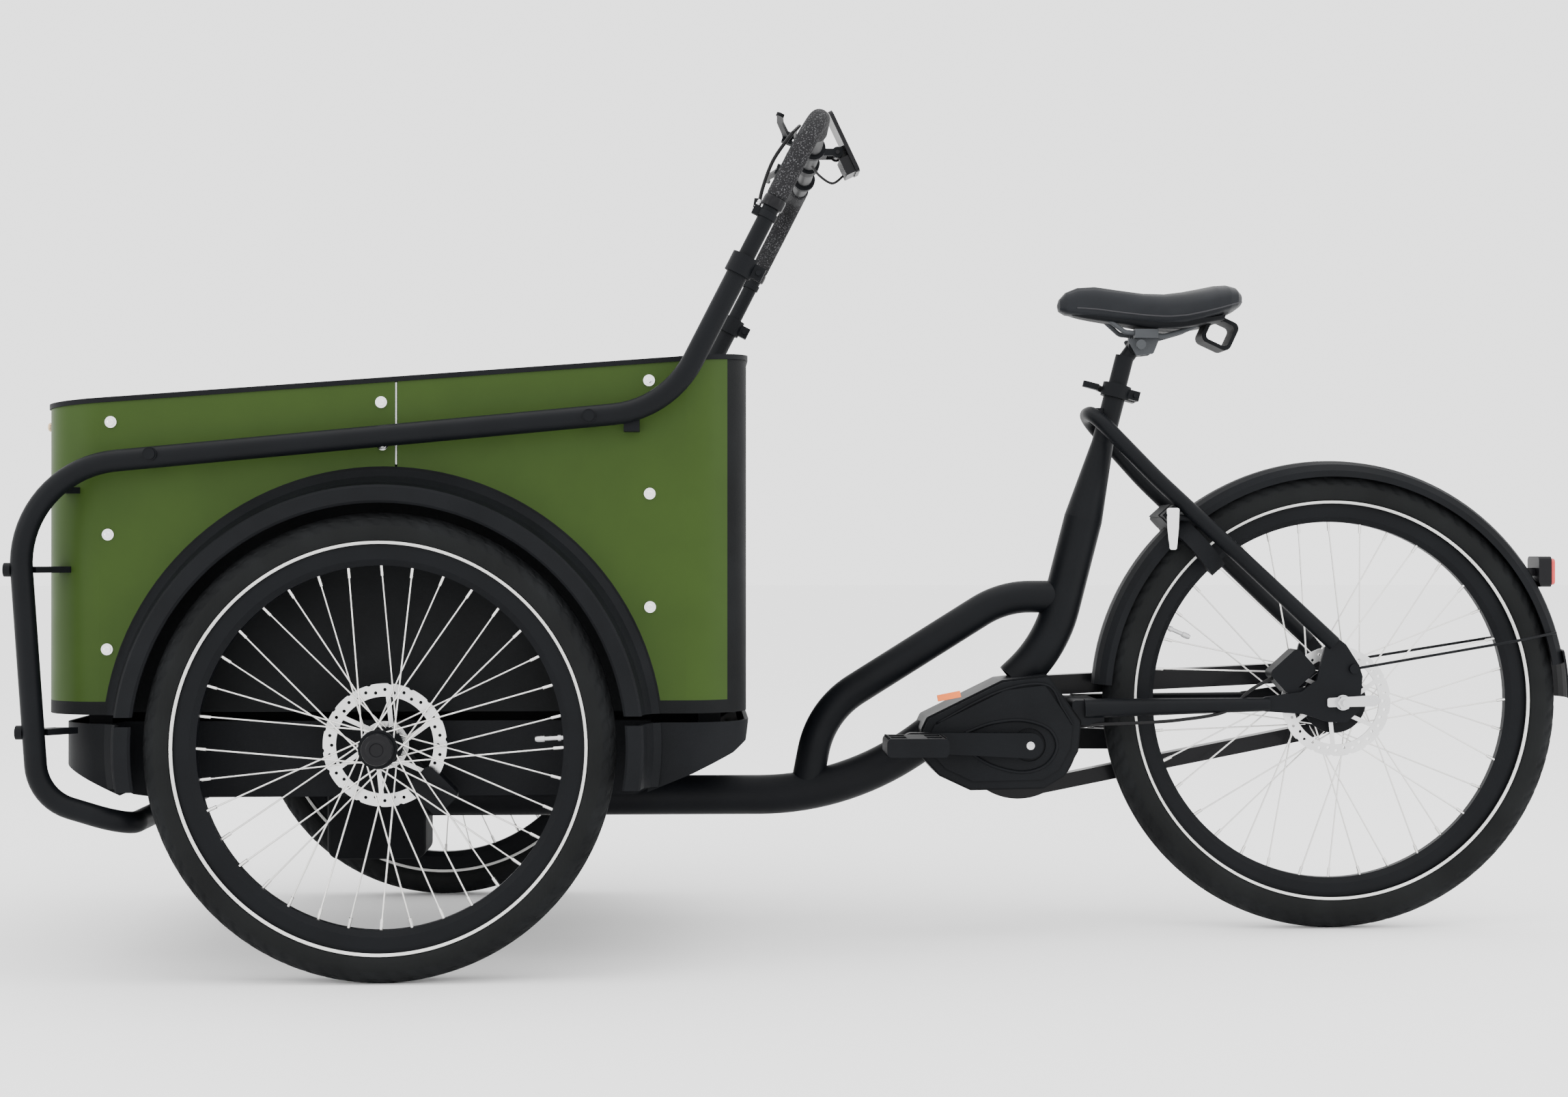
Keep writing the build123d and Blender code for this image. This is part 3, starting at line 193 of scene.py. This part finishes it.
finish_of = {}
for name in ("lower_tube", "upper_tube", "seat_tube", "seat_stays", "chain_stays", "dropouts",
             "steering_head", "motor_housing", "chassis_frame", "handle_rails", "rail_fixings",
             "crank_arms", "seat_post", "seat_clamp", "seat_lever", "front_calipers",
             "rear_caliper", "handlebar_tube", "fender_stays", "front_left_rim",
             "front_right_rim", "rear_rim", "front_left_hub", "front_right_hub", "rear_hub"):
    finish_of[name] = POWDER
for name in ("lower_tray", "wheel_arches", "rim_trim", "rear_fender", "motor_cover",
             "pedal_left", "pedal_right", "ring_lock_body", "saddle_base", "bar_fittings"):
    finish_of[name] = MOULD
for name in ("chain_case", "tail_light_housing", "front_lamps", "display"):
    finish_of[name] = GLOSS
for name in ("chainring", "drive_chain", "rear_sprocket"):
    finish_of[name] = STEEL
for name in ("front_left_spokes", "front_right_spokes", "rear_spokes"):
    finish_of[name] = SPOKE
for name in ("front_left_tyre", "front_right_tyre", "rear_tyre"):
    finish_of[name] = TYRE
finish_of["box_tub"] = TUB
finish_of["side_panels"] = PANEL
finish_of["front_panel"] = PANEL
finish_of["panel_screws"] = CHROME
finish_of["grips"] = FOAM
finish_of["saddle_cover"] = SKIN
finish_of["saddle_rails"] = GREY
finish_of["tail_light_lens"] = RED
finish_of["lock_shackle"] = CHROME
finish_of["lock_key"] = CHROME
finish_of["brake_lever_left"] = POWDER
finish_of["brake_lever_right"] = POWDER
for name, obj in NODE.items():
    obj.data.materials.clear()
    obj.data.materials.append(finish_of[name])


def centre_of(obj, poly):
    c = obj.matrix_world @ poly.center
    return c.x * 1000 - DATUM, c.y * 1000, c.z * 1000


def repaint(node, other, test):
    obj = NODE[node]
    obj.data.materials.append(other)
    k = len(obj.data.materials) - 1
    for poly in obj.data.polygons:
        if test(*centre_of(obj, poly)):
            poly.material_index = k


def near(x, z, cx, cz, r):
    return (x - cx) ** 2 + (z - cz) ** 2 < r * r


repaint("front_left_hub", ROTOR, lambda x, y, z: -363.6 < y < -358.3
        and not near(x, z, FRONT_X, FRONT_R, 23))
repaint("front_right_hub", ROTOR, lambda x, y, z: 358.3 < y < 363.6
        and not near(x, z, FRONT_X, FRONT_R, 23))
repaint("rear_hub", ROTOR, lambda x, y, z: -43.2 < y < -38.9
        and not near(x, z, REAR_X, REAR_R, 25))
repaint("dropouts", STEEL, lambda x, y, z: abs(y) > 75.02)
repaint("steering_head", MOULD, lambda x, y, z: z < 222.1)
repaint("front_lamps", WARM, lambda x, y, z: x < -850.5)


# ---- mesh helpers -------------------------------------------------------------------
def make(name, verts, faces, mat, body, smooth=True):
    me = bpy.data.meshes.new(name)
    me.from_pydata([tuple(v) for v in verts], [], faces)
    me.validate()
    me.update()
    me.materials.append(mat)
    if smooth:
        for p in me.polygons:
            p.use_smooth = True
    obj = bpy.data.objects.new(name, me)
    bpy.context.scene.collection.objects.link(obj)
    if body:
        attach(obj, body)
    return obj


def loft(rings, closed_ends=True, wrap=False):
    n = len(rings[0])
    verts = [v for ring in rings for v in ring]
    faces = []
    count = len(rings)
    last = count if wrap else count - 1
    for i in range(last):
        a = i * n
        b = ((i + 1) % count) * n
        for j in range(n):
            k = (j + 1) % n
            faces.append((a + j, a + k, b + k, b + j))
    if closed_ends and not wrap:
        faces.append(tuple(reversed(range(n))))
        faces.append(tuple((count - 1) * n + j for j in range(n)))
    return verts, faces


def smooth_path(points, per=10):
    pts = [Vector(p) for p in points]
    out = []
    for i in range(len(pts) - 1):
        p0 = pts[max(i - 1, 0)]
        p1 = pts[i]
        p2 = pts[i + 1]
        p3 = pts[min(i + 2, len(pts) - 1)]
        for k in range(per):
            t = k / per
            out.append(0.5 * ((2 * p1) + (p2 - p0) * t + (2 * p0 - 5 * p1 + 4 * p2 - p3) * t * t
                              + (3 * p1 - p0 - 3 * p2 + p3) * t * t * t))
    out.append(pts[-1])
    return out


def hose(name, points, r, mat, body, ribs=0.0, sides=12, per=10):
    path = smooth_path([at(*p) for p in points], per)
    rings = []
    up = Vector((0, 1, 0))
    for i, p in enumerate(path):
        d = (path[min(i + 1, len(path) - 1)] - path[max(i - 1, 0)]).normalized()
        u = up - d * up.dot(d)
        if u.length < 0.1:
            u = Vector((0, 0, 1)) - d * d.z
        u.normalize()
        up = u
        v = d.cross(u)
        rr = r / 1000 * (1 + (ribs if i % 2 else 0))
        rings.append([p + (u * math.cos(2 * math.pi * k / sides)
                           + v * math.sin(2 * math.pi * k / sides)) * rr
                      for k in range(sides)])
    verts, faces = loft(rings)
    return make(name, verts, faces, mat, body)


def lathe(name, profile, centre, axis, mat, body, steps=48, smooth=True):
    # profile: (distance along axis, radius) in mm
    ax = Vector(axis).normalized()
    side = Vector((0, 0, 1)) if abs(ax.z) < 0.9 else Vector((1, 0, 0))
    u = (side - ax * side.dot(ax)).normalized()
    v = ax.cross(u)
    c = at(*centre)
    rings = []
    for (d, r) in profile:
        rings.append([c + ax * (d / 1000)
                      + (u * math.cos(2 * math.pi * k / steps)
                         + v * math.sin(2 * math.pi * k / steps)) * (max(r, 0.01) / 1000)
                      for k in range(steps)])
    verts, faces = loft(rings)
    obj = make(name, verts, faces, mat, body, smooth)
    obj.data.shade_smooth() if smooth else None
    try:
        obj.data.set_sharp_from_angle(angle=math.radians(35))
    except AttributeError:
        pass
    return obj


def slab(name, pts, y0, y1, mat, body, bevel=1.0):
    lo = [at(x, y0, z) for (x, z) in pts]
    hi = [at(x, y1, z) for (x, z) in pts]
    n = len(pts)
    faces = [tuple(range(n)), tuple(reversed(range(n, 2 * n)))]
    for j in range(n):
        k = (j + 1) % n
        faces.append((j, n + j, n + k, k))
    obj = make(name, lo + hi, faces, mat, body, False)
    if bevel:
        mod = obj.modifiers.new("edge", "BEVEL")
        mod.width = bevel / 1000
        mod.segments = 3
        mod.limit_method = "ANGLE"
    return obj


def brick(name, centre, size, mat, body, rot=(0, 0, 0), bevel=1.5):
    sx, sy, sz = (s / 2000 for s in size)
    m = Matrix.Translation(at(*centre))
    turn = Matrix.Rotation(math.radians(rot[2]), 4, "Z") @ Matrix.Rotation(
        math.radians(rot[1]), 4, "Y") @ Matrix.Rotation(math.radians(rot[0]), 4, "X")
    m = m @ turn
    verts = [m @ Vector((a * sx, b * sy, c * sz)) for a in (-1, 1) for b in (-1, 1)
             for c in (-1, 1)]
    faces = [(0, 1, 3, 2), (4, 6, 7, 5), (0, 4, 5, 1), (2, 3, 7, 6), (0, 2, 6, 4), (1, 5, 7, 3)]
    obj = make(name, verts, faces, mat, body, False)
    mod = obj.modifiers.new("edge", "BEVEL")
    mod.width = bevel / 1000
    mod.segments = 3
    return obj


# ---- tyres --------------------------------------------------------------------------
def tyre(name, node, body, cx, cy, cz, outer, width, bead, blocks, steps, band_r):
    half = width / 2
    centre = outer - half
    rings = []
    angles = [-118 + 236 * k / 58 for k in range(59)]
    for i in range(steps):
        th = 2 * math.pi * i / steps
        ring = []
        for a in angles:
            ar = math.radians(a)
            y = math.sin(ar) * half
            r = centre + math.cos(ar) * half
            t = abs(a)
            turn = i / steps * blocks
            h = 0.0
            if t < 70:
                shift = 0.5 if a > 0 else 0.0
                wave = (turn + shift + t / 64) % 1.0
                if t < 14:
                    h = 0.0 if (turn + a / 60) % 1.0 > 0.12 else -0.7
                elif t < 18:
                    h = -1.3
                elif t < 44:
                    h = 0.0 if wave > 0.24 else -1.3
                elif t < 48:
                    h = -1.2 if (turn * 0.5 + shift) % 1.0 > 0.5 else 0.0
                else:
                    h = 0.15 if wave > 0.34 else -1.1
            elif t > 100:
                h = 0.35
            nx = math.cos(ar)
            ny = math.sin(ar)
            rr = r + h * nx
            yy = y + h * ny
            if rr < bead + 9.0:
                rr = bead + 9.0 - (bead + 9.0 - rr) * 0.35
                yy = math.copysign(max(14.3, abs(yy)), yy)
            ring.append(at(cx + rr * math.cos(th), cy + yy, cz + rr * math.sin(th)))
        for (yy, rr) in ((12.0, bead + 8.6), (0.0, bead + 12), (-12.0, bead + 8.6)):
            ring.append(at(cx + rr * math.cos(th), cy + yy, cz + rr * math.sin(th)))
        rings.append(ring)
    verts, faces = loft(rings, wrap=True)
    obj = make(name, verts, faces, TYRE, body)
    obj.data.materials.append(WALL)
    n = len(rings[0])
    for p in obj.data.polygons:
        j = p.vertices[0] % n
        if j < 11 or j > 46:
            p.material_index = 1
    try:
        obj.data.set_sharp_from_angle(angle=math.radians(40))
    except AttributeError:
        pass
    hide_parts(node)
    for s in (-1, 1):
        rel = band_r - centre
        y_out = math.sqrt(half * half - rel * rel)
        prof = []
        for dr in (-1.9, -1.2, 0, 1.2, 1.9):
            q = math.sqrt(half * half - (rel + dr) ** 2)
            lift = 0.05 if abs(dr) > 1.5 else 0.45
            prof.append((s * (q + lift), band_r + dr))
        prof.append((s * (y_out - 0.6), band_r + 1.9))
        prof.append((s * (y_out - 0.6), band_r - 1.9))
        rings_b = []
        for i in range(160):
            th = 2 * math.pi * i / 160
            rings_b.append([at(cx + r * math.cos(th), cy + y, cz + r * math.sin(th))
                            for (y, r) in prof])
        verts, faces = loft(rings_b, wrap=True)
        make(name + "_band" + ("_l" if s < 0 else "_r"), verts, faces, BAND, body)
    return obj


tyre("front_left_tread", "front_left_tyre", "front_left_wheel", FRONT_X, -TRACK, FRONT_R,
     FRONT_R, 47, 253.5, 72, 576, 262.5)
tyre("front_right_tread", "front_right_tyre", "front_right_wheel", FRONT_X, TRACK, FRONT_R,
     FRONT_R, 47, 253.5, 72, 576, 262.5)
tyre("rear_tread", "rear_tyre", "rear_wheel", REAR_X, 0, REAR_R, REAR_R, 55, 279.5, 80, 640,
     290.0)


def valve(name, body, cx, cy, cz, rim_r, ang):
    a = math.radians(ang)
    d = (-math.cos(a), 0, -math.sin(a))
    c = (cx + rim_r * math.cos(a), cy, cz + rim_r * math.sin(a))
    lathe(name, [(-3, 3.2), (0, 3.2), (3, 3.1), (3, 4.2), (7, 4.2), (7, 3.0), (24, 3.0), (24, 4.3),
                 (33, 4.1), (36, 3.0)], c, d, ALLOY, body, 20)


valve("valve_front_left", "front_left_wheel", FRONT_X, -TRACK, FRONT_R, 233, -12 + 15)
valve("valve_front_right", "front_right_wheel", FRONT_X, TRACK, FRONT_R, 233, 75)
valve("valve_rear", "rear_wheel", REAR_X, 0, REAR_R, 261, 156)

# hub caps, end details
for s, b in ((-1, "front_left_wheel"), (1, "front_right_wheel")):
    y = s * (TRACK + 42)
    lathe("hub_cap" + str(s), [(-0.5, 20), (0.9, 19.5), (1.6, 17), (1.0, 14.5), (1.9, 13), (2.2, 9),
                               (0.8, 8), (0.8, 0.1)], (FRONT_X, y, FRONT_R), (0, s, 0), GLOSS, b)
    for k in range(6):
        a = math.radians(60 * k + 12)
        yy = s * (TRACK - 43.6)
        lathe("rotor_bolt%d_%d" % (s, k), [(0, 3.2), (1.4, 3.0), (1.5, 1.6), (0.5, 0.1)],
              (FRONT_X + 26 * math.cos(a), yy, FRONT_R + 26 * math.sin(a)), (0, -s, 0), STEEL, b, 14)
for k in range(6):
    a = math.radians(60 * k + 12)
    lathe("rear_rotor_bolt%d" % k, [(0, 3.2), (1.4, 3.0), (1.5, 1.6), (0.5, 0.1)],
          (REAR_X + 26 * math.cos(a), -43, REAR_R + 26 * math.sin(a)), (0, -1, 0), STEEL,
          "rear_wheel", 14)

# ---- saddle and grips ---------------------------------------------------------------
def blend_rows(rows, t):
    x = t * (len(rows) - 1)
    i = min(int(x), len(rows) - 2)
    f = x - i
    f = f * f * (3 - 2 * f) * 0.35 + f * 0.65
    return [a + (b - a) * f for a, b in zip(rows[i], rows[i + 1])]


rows = [(536.5, 3, 914, 909), (539, 13, 921, 903), (548, 20, 931, 898), (565, 24, 938, 895),
        (590, 26, 939.5, 892), (625, 30, 935, 887), (660, 39, 930, 882), (690, 54, 928.5, 878),
        (715, 71, 931, 878), (738, 84, 935, 882), (758, 90, 939, 887), (774, 89, 940, 893),
        (786, 82, 937, 899), (793, 71, 930, 904), (796, 54, 922, 909)]
rings = []
for i in range(85):
    x, w, top, bottom = blend_rows(rows, i / 84)
    mid = bottom + (top - bottom) * 0.42
    ring = []
    for k in range(64):
        a = 2 * math.pi * k / 64
        c, s_ = math.cos(a), math.sin(a)
        e = 0.72
        yy = w * math.copysign(abs(c) ** e, c)
        up = (top - mid) if s_ > 0 else (mid - bottom)
        zz = mid + up * math.copysign(abs(s_) ** (0.9 if s_ > 0 else 0.6), s_)
        if s_ > 0:
            dip = 2.6 * math.exp(-(yy / 11) ** 2) * min(1, max(0, (x - 600) / 60))
            zz -= dip * min(1, max(0, (800 - x) / 30))
            seam = 0.9 * math.exp(-((abs(yy) - 0.62 * w) / 1.8) ** 2)
            zz -= seam if 552 < x < 796 else 0
        ring.append(at(x, yy, zz))
    rings.append(ring)
verts, faces = loft(rings)
cover = make("saddle_padding", verts, faces, SKIN, "saddle")
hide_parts("saddle_cover")
for s in (-1, 1):
    pts = []
    for i in range(24):
        x, w, top, bottom = blend_rows(rows, 0.2 + 0.72 * i / 23)
        mid = bottom + (top - bottom) * 0.42
        pts.append((x, s * w * 0.985, mid - (mid - bottom) * 0.35))
    hose("saddle_piping" + str(s), pts, 1.1, THREAD, "saddle", sides=8, per=3)


def corner_arc(s, n=14):
    # the bar bends from the upright into the cross bar
    p = Vector((bar_x(BAR_CORNER_Z), s * BAR_SIDE, BAR_CORNER_Z))
    a = (Vector((bar_x(GRIP_LOW_Z), s * BAR_SIDE, GRIP_LOW_Z)) - p).normalized()
    b = (Vector((BAR_MID[0], s * BAR_MID[1], BAR_MID[2])) - p).normalized()
    half = a.angle(b) / 2
    reach = BAR_BEND / math.tan(half)
    mid = (a + b).normalized()
    c = p + mid * (BAR_BEND / math.sin(half))
    p0 = p + a * reach - c
    p1 = p + b * reach - c
    full = p0.angle(p1)
    out = []
    for i in range(n + 1):
        t = i / n
        v = (p0 * math.sin((1 - t) * full) + p1 * math.sin(t * full)) / math.sin(full)
        out.append(c + v)
    return out


for s in (-1, 1):
    arc = corner_arc(s)
    start = Vector((bar_x(GRIP_LOW_Z), s * BAR_SIDE, GRIP_LOW_Z))
    end = Vector((GRIP_END[0], s * GRIP_END[1], GRIP_END[2]))
    line = [start + (arc[0] - start) * (k / 12) for k in range(12)]
    tail = [arc[-1] + (end - arc[-1]) * (k / 8) for k in range(1, 9)]
    path = line + arc + tail
    rings = []
    up = Vector((1, 0, 0))
    for i, p in enumerate(path):
        d = (path[min(i + 1, len(path) - 1)] - path[max(i - 1, 0)]).normalized()
        u = (up - d * up.dot(d)).normalized()
        up = u
        v = d.cross(u)
        ends = min(i, len(path) - 1 - i)
        rr = 14.0 if ends > 0 else 12.6
        ring = []
        for k in range(28):
            a = 2 * math.pi * k / 28
            bump = 0.25 * noise.noise(Vector((p.x, p.z, k)) * 0.35)
            q = p + (u * math.cos(a) + v * math.sin(a)) * (rr + bump)
            ring.append(at(*q))
        rings.append(ring)
    verts, faces = loft(rings)
    grip = make("foam_grip" + ("_left" if s < 0 else "_right"), verts, faces, FOAM, "handlebar")
    if s < 0:
        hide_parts("grips")
    c = (bar_x(994), s * BAR_SIDE, 994)
    lathe("grip_collar" + str(s), [(-1, 12), (0, 14.4), (3, 14.9), (11, 14.9), (14, 14.2),
                                   (15, 12)], c, (BAR_LEAN, 0, 1), GLOSS, "handlebar", 40)

# ---- box details --------------------------------------------------------------------
for s in (-1, 1):
    slab("seam_strip" + str(s), [(-381.4, 664), (-379.6, 664), (-379.6, 770.3), (-381.4, 770.2)],
         s * 366.2, s * 370.25, BRUSHED, "front_module", 0.2)
screw_spots = [(-745.6, 718), (-749, 573), (-750, 425.4), (-399.7, 744.4), (-398, 689.7),
               (-54, 773.6), (-53, 626.5), (-52.5, 479.3)]
for s in (-1, 1):
    for i, (x, z) in enumerate(screw_spots):
        lathe("screw_head%d_%d" % (s, i), [(0, 5.2), (1.2, 5.1), (2.4, 4.2), (2.8, 2.6), (1.4, 2.3),
                                           (1.4, 0.1)], (x, s * 371.5, z), (0, s, 0), CHROME,
              "front_module", 20)
brick("floor_mat", (-380, 0, 353.2), (840, 590, 2.4), FLOORMAT, "front_module", bevel=0.6)

# motor badge and ridges
brick("motor_badge", (369, -75.4, 345), (34, 1.4, 9.5), ORANGE, "rear_frame", rot=(0, -11, 0),
      bevel=0.6)


hose("motor_rib_a", [(392, -75.6, 292), (430, -75.8, 306), (474, -75.8, 310), (512, -75.8, 298),
                     (524, -75.8, 272), (508, -75.8, 246), (474, -75.8, 236), (430, -75.8, 246),
                     (394, -75.6, 268)], 2.4, MOULD, "rear_frame", sides=10)
hose("motor_rib_b", [(352, -74, 306), (440, -75, 351), (508, -75, 361), (532, -75, 328),
                     (547, -75, 304)], 1.6, MOULD, "rear_frame", sides=8)
lathe("crank_bolt", [(0, 7), (1.2, 6.6), (1.6, 5), (0.7, 3.6), (0.7, 0.1)],
      (484, -92.2, 275), (0, -1, 0), STEEL, "crank", 24)

# hoses and cables
hose("rear_brake_hose", [(846, -58, 372), (806, -66, 352), (768, -74, 322), (700, -76, 310),
                         (640, -74, 306), (590, -68, 304), (560, -58, 300)], 2.5, RUBBER,
     "rear_frame")
for s in (-1, 1):
    hose("bar_hose" + str(s), [(bar_x(1092) - 22, s * 398, 1092), (bar_x(1060) - 30, s * 392, 1058),
                               (bar_x(1020) - 24, s * 394, 1020), (bar_x(996) - 17, s * 400, 994)],
         2.4, RUBBER, "handlebar")
    lathe("cable_stop" + str(s), [(-8, 3.4), (-6, 4.6), (-4, 3.8), (-2, 4.6), (0, 3.8), (2, 4.6),
                                  (4, 3.8), (6, 4.4), (8, 3.0)],
          (bar_x(997) - 19, s * BAR_SIDE, 997), (BAR_LEAN, 0, 1), ALLOY, "handlebar", 20)
    hose("bar_cable_in" + str(s), [(bar_x(1092) - 22, s * 398, 1092), (141, s * 372, 1105),
                                   (143, s * 310, 1115), (142, s * 240, 1121), (146, s * 158, 1125)],
         2.2, RUBBER, "handlebar")
hose("display_cable", [(222, 0, 1100), (206, -10, 1088), (186, -30, 1096), (172, -60, 1107)],
     1.8, RUBBER, "display")

# display glass
m = Matrix.Rotation(math.radians(DISPLAY_TILT), 3, "Y")
n = m @ Vector((1, 0, 0))
c = Vector((222, 0, 1147)) + n * 3.2
brick("display_glass", tuple(c), (0.8, 54, 84), SCREEN, "display", rot=(0, DISPLAY_TILT, 0), bevel=0.3)

# lamp lenses
for s in (-1, 1):
    for dy in (-10, 10):
        lathe("lamp_lens%d_%d" % (s, dy), [(0, 5.8), (1.2, 5.4), (2.4, 3.6), (2.9, 0.1)],
              (-852, s * 250 + dy, 717), (-1, 0, 0), WARM, "front_module", 24)

# ---- camera, lights, floor ----------------------------------------------------------
cam_data = bpy.data.cameras.new("photo_camera")
cam = bpy.data.objects.new("photo_camera", cam_data)
bpy.context.scene.collection.objects.link(cam)
cam.location = (-0.2095, -3.440, 0.546)
cam.rotation_euler = (math.radians(90.173), 0, math.radians(-2.2646))
cam_data.lens = 54.217
cam_data.sensor_width = 36
cam_data.clip_end = 100
bpy.context.scene.camera = cam


def area(name, loc, target, size, power, color=(1, 1, 1)):
    data = bpy.data.lights.new(name, "AREA")
    data.shape = "RECTANGLE"
    data.size, data.size_y = size
    data.energy = power
    data.color = color
    obj = bpy.data.objects.new(name, data)
    obj.location = loc
    obj.rotation_euler = (Vector(target) - Vector(loc)).to_track_quat("-Z", "Y").to_euler()
    bpy.context.scene.collection.objects.link(obj)
    return obj


area("top_soft", (0, -0.6, 3.4), (0, 0, 0.4), (5, 3), 80)
area("left_soft", (-3.2, -2.2, 1.5), (-0.4, 0, 0.6), (1.2, 2.6), 25)
area("right_soft", (3.2, -2.2, 1.5), (0.3, 0, 0.6), (1.2, 2.6), 25)
area("front_soft", (0, -4.6, 2.4), (0, 0, 0.5), (4.5, 1.4), 15)
world = bpy.data.worlds.new("studio")
bpy.context.scene.world = world
world.use_nodes = True
world.node_tree.nodes["Background"].inputs["Color"].default_value = (1, 1, 1, 1)
world.node_tree.nodes["Background"].inputs["Strength"].default_value = 2.4

floor_mat = bpy.data.materials.new("studio_floor")
floor_mat.use_nodes = True
floor_mat.node_tree.nodes["Principled BSDF"].inputs["Base Color"].default_value = (0.93, 0.93, 0.93, 1)
floor_mat.node_tree.nodes["Principled BSDF"].inputs["Roughness"].default_value = 0.9
me = bpy.data.meshes.new("studio_floor")
me.from_pydata([(-40, -40, 0), (40, -40, 0), (40, 40, 0), (-40, 40, 0)], [], [(0, 1, 2, 3)])
me.materials.append(floor_mat)
ground = bpy.data.objects.new("studio_floor", me)
bpy.context.scene.collection.objects.link(ground)
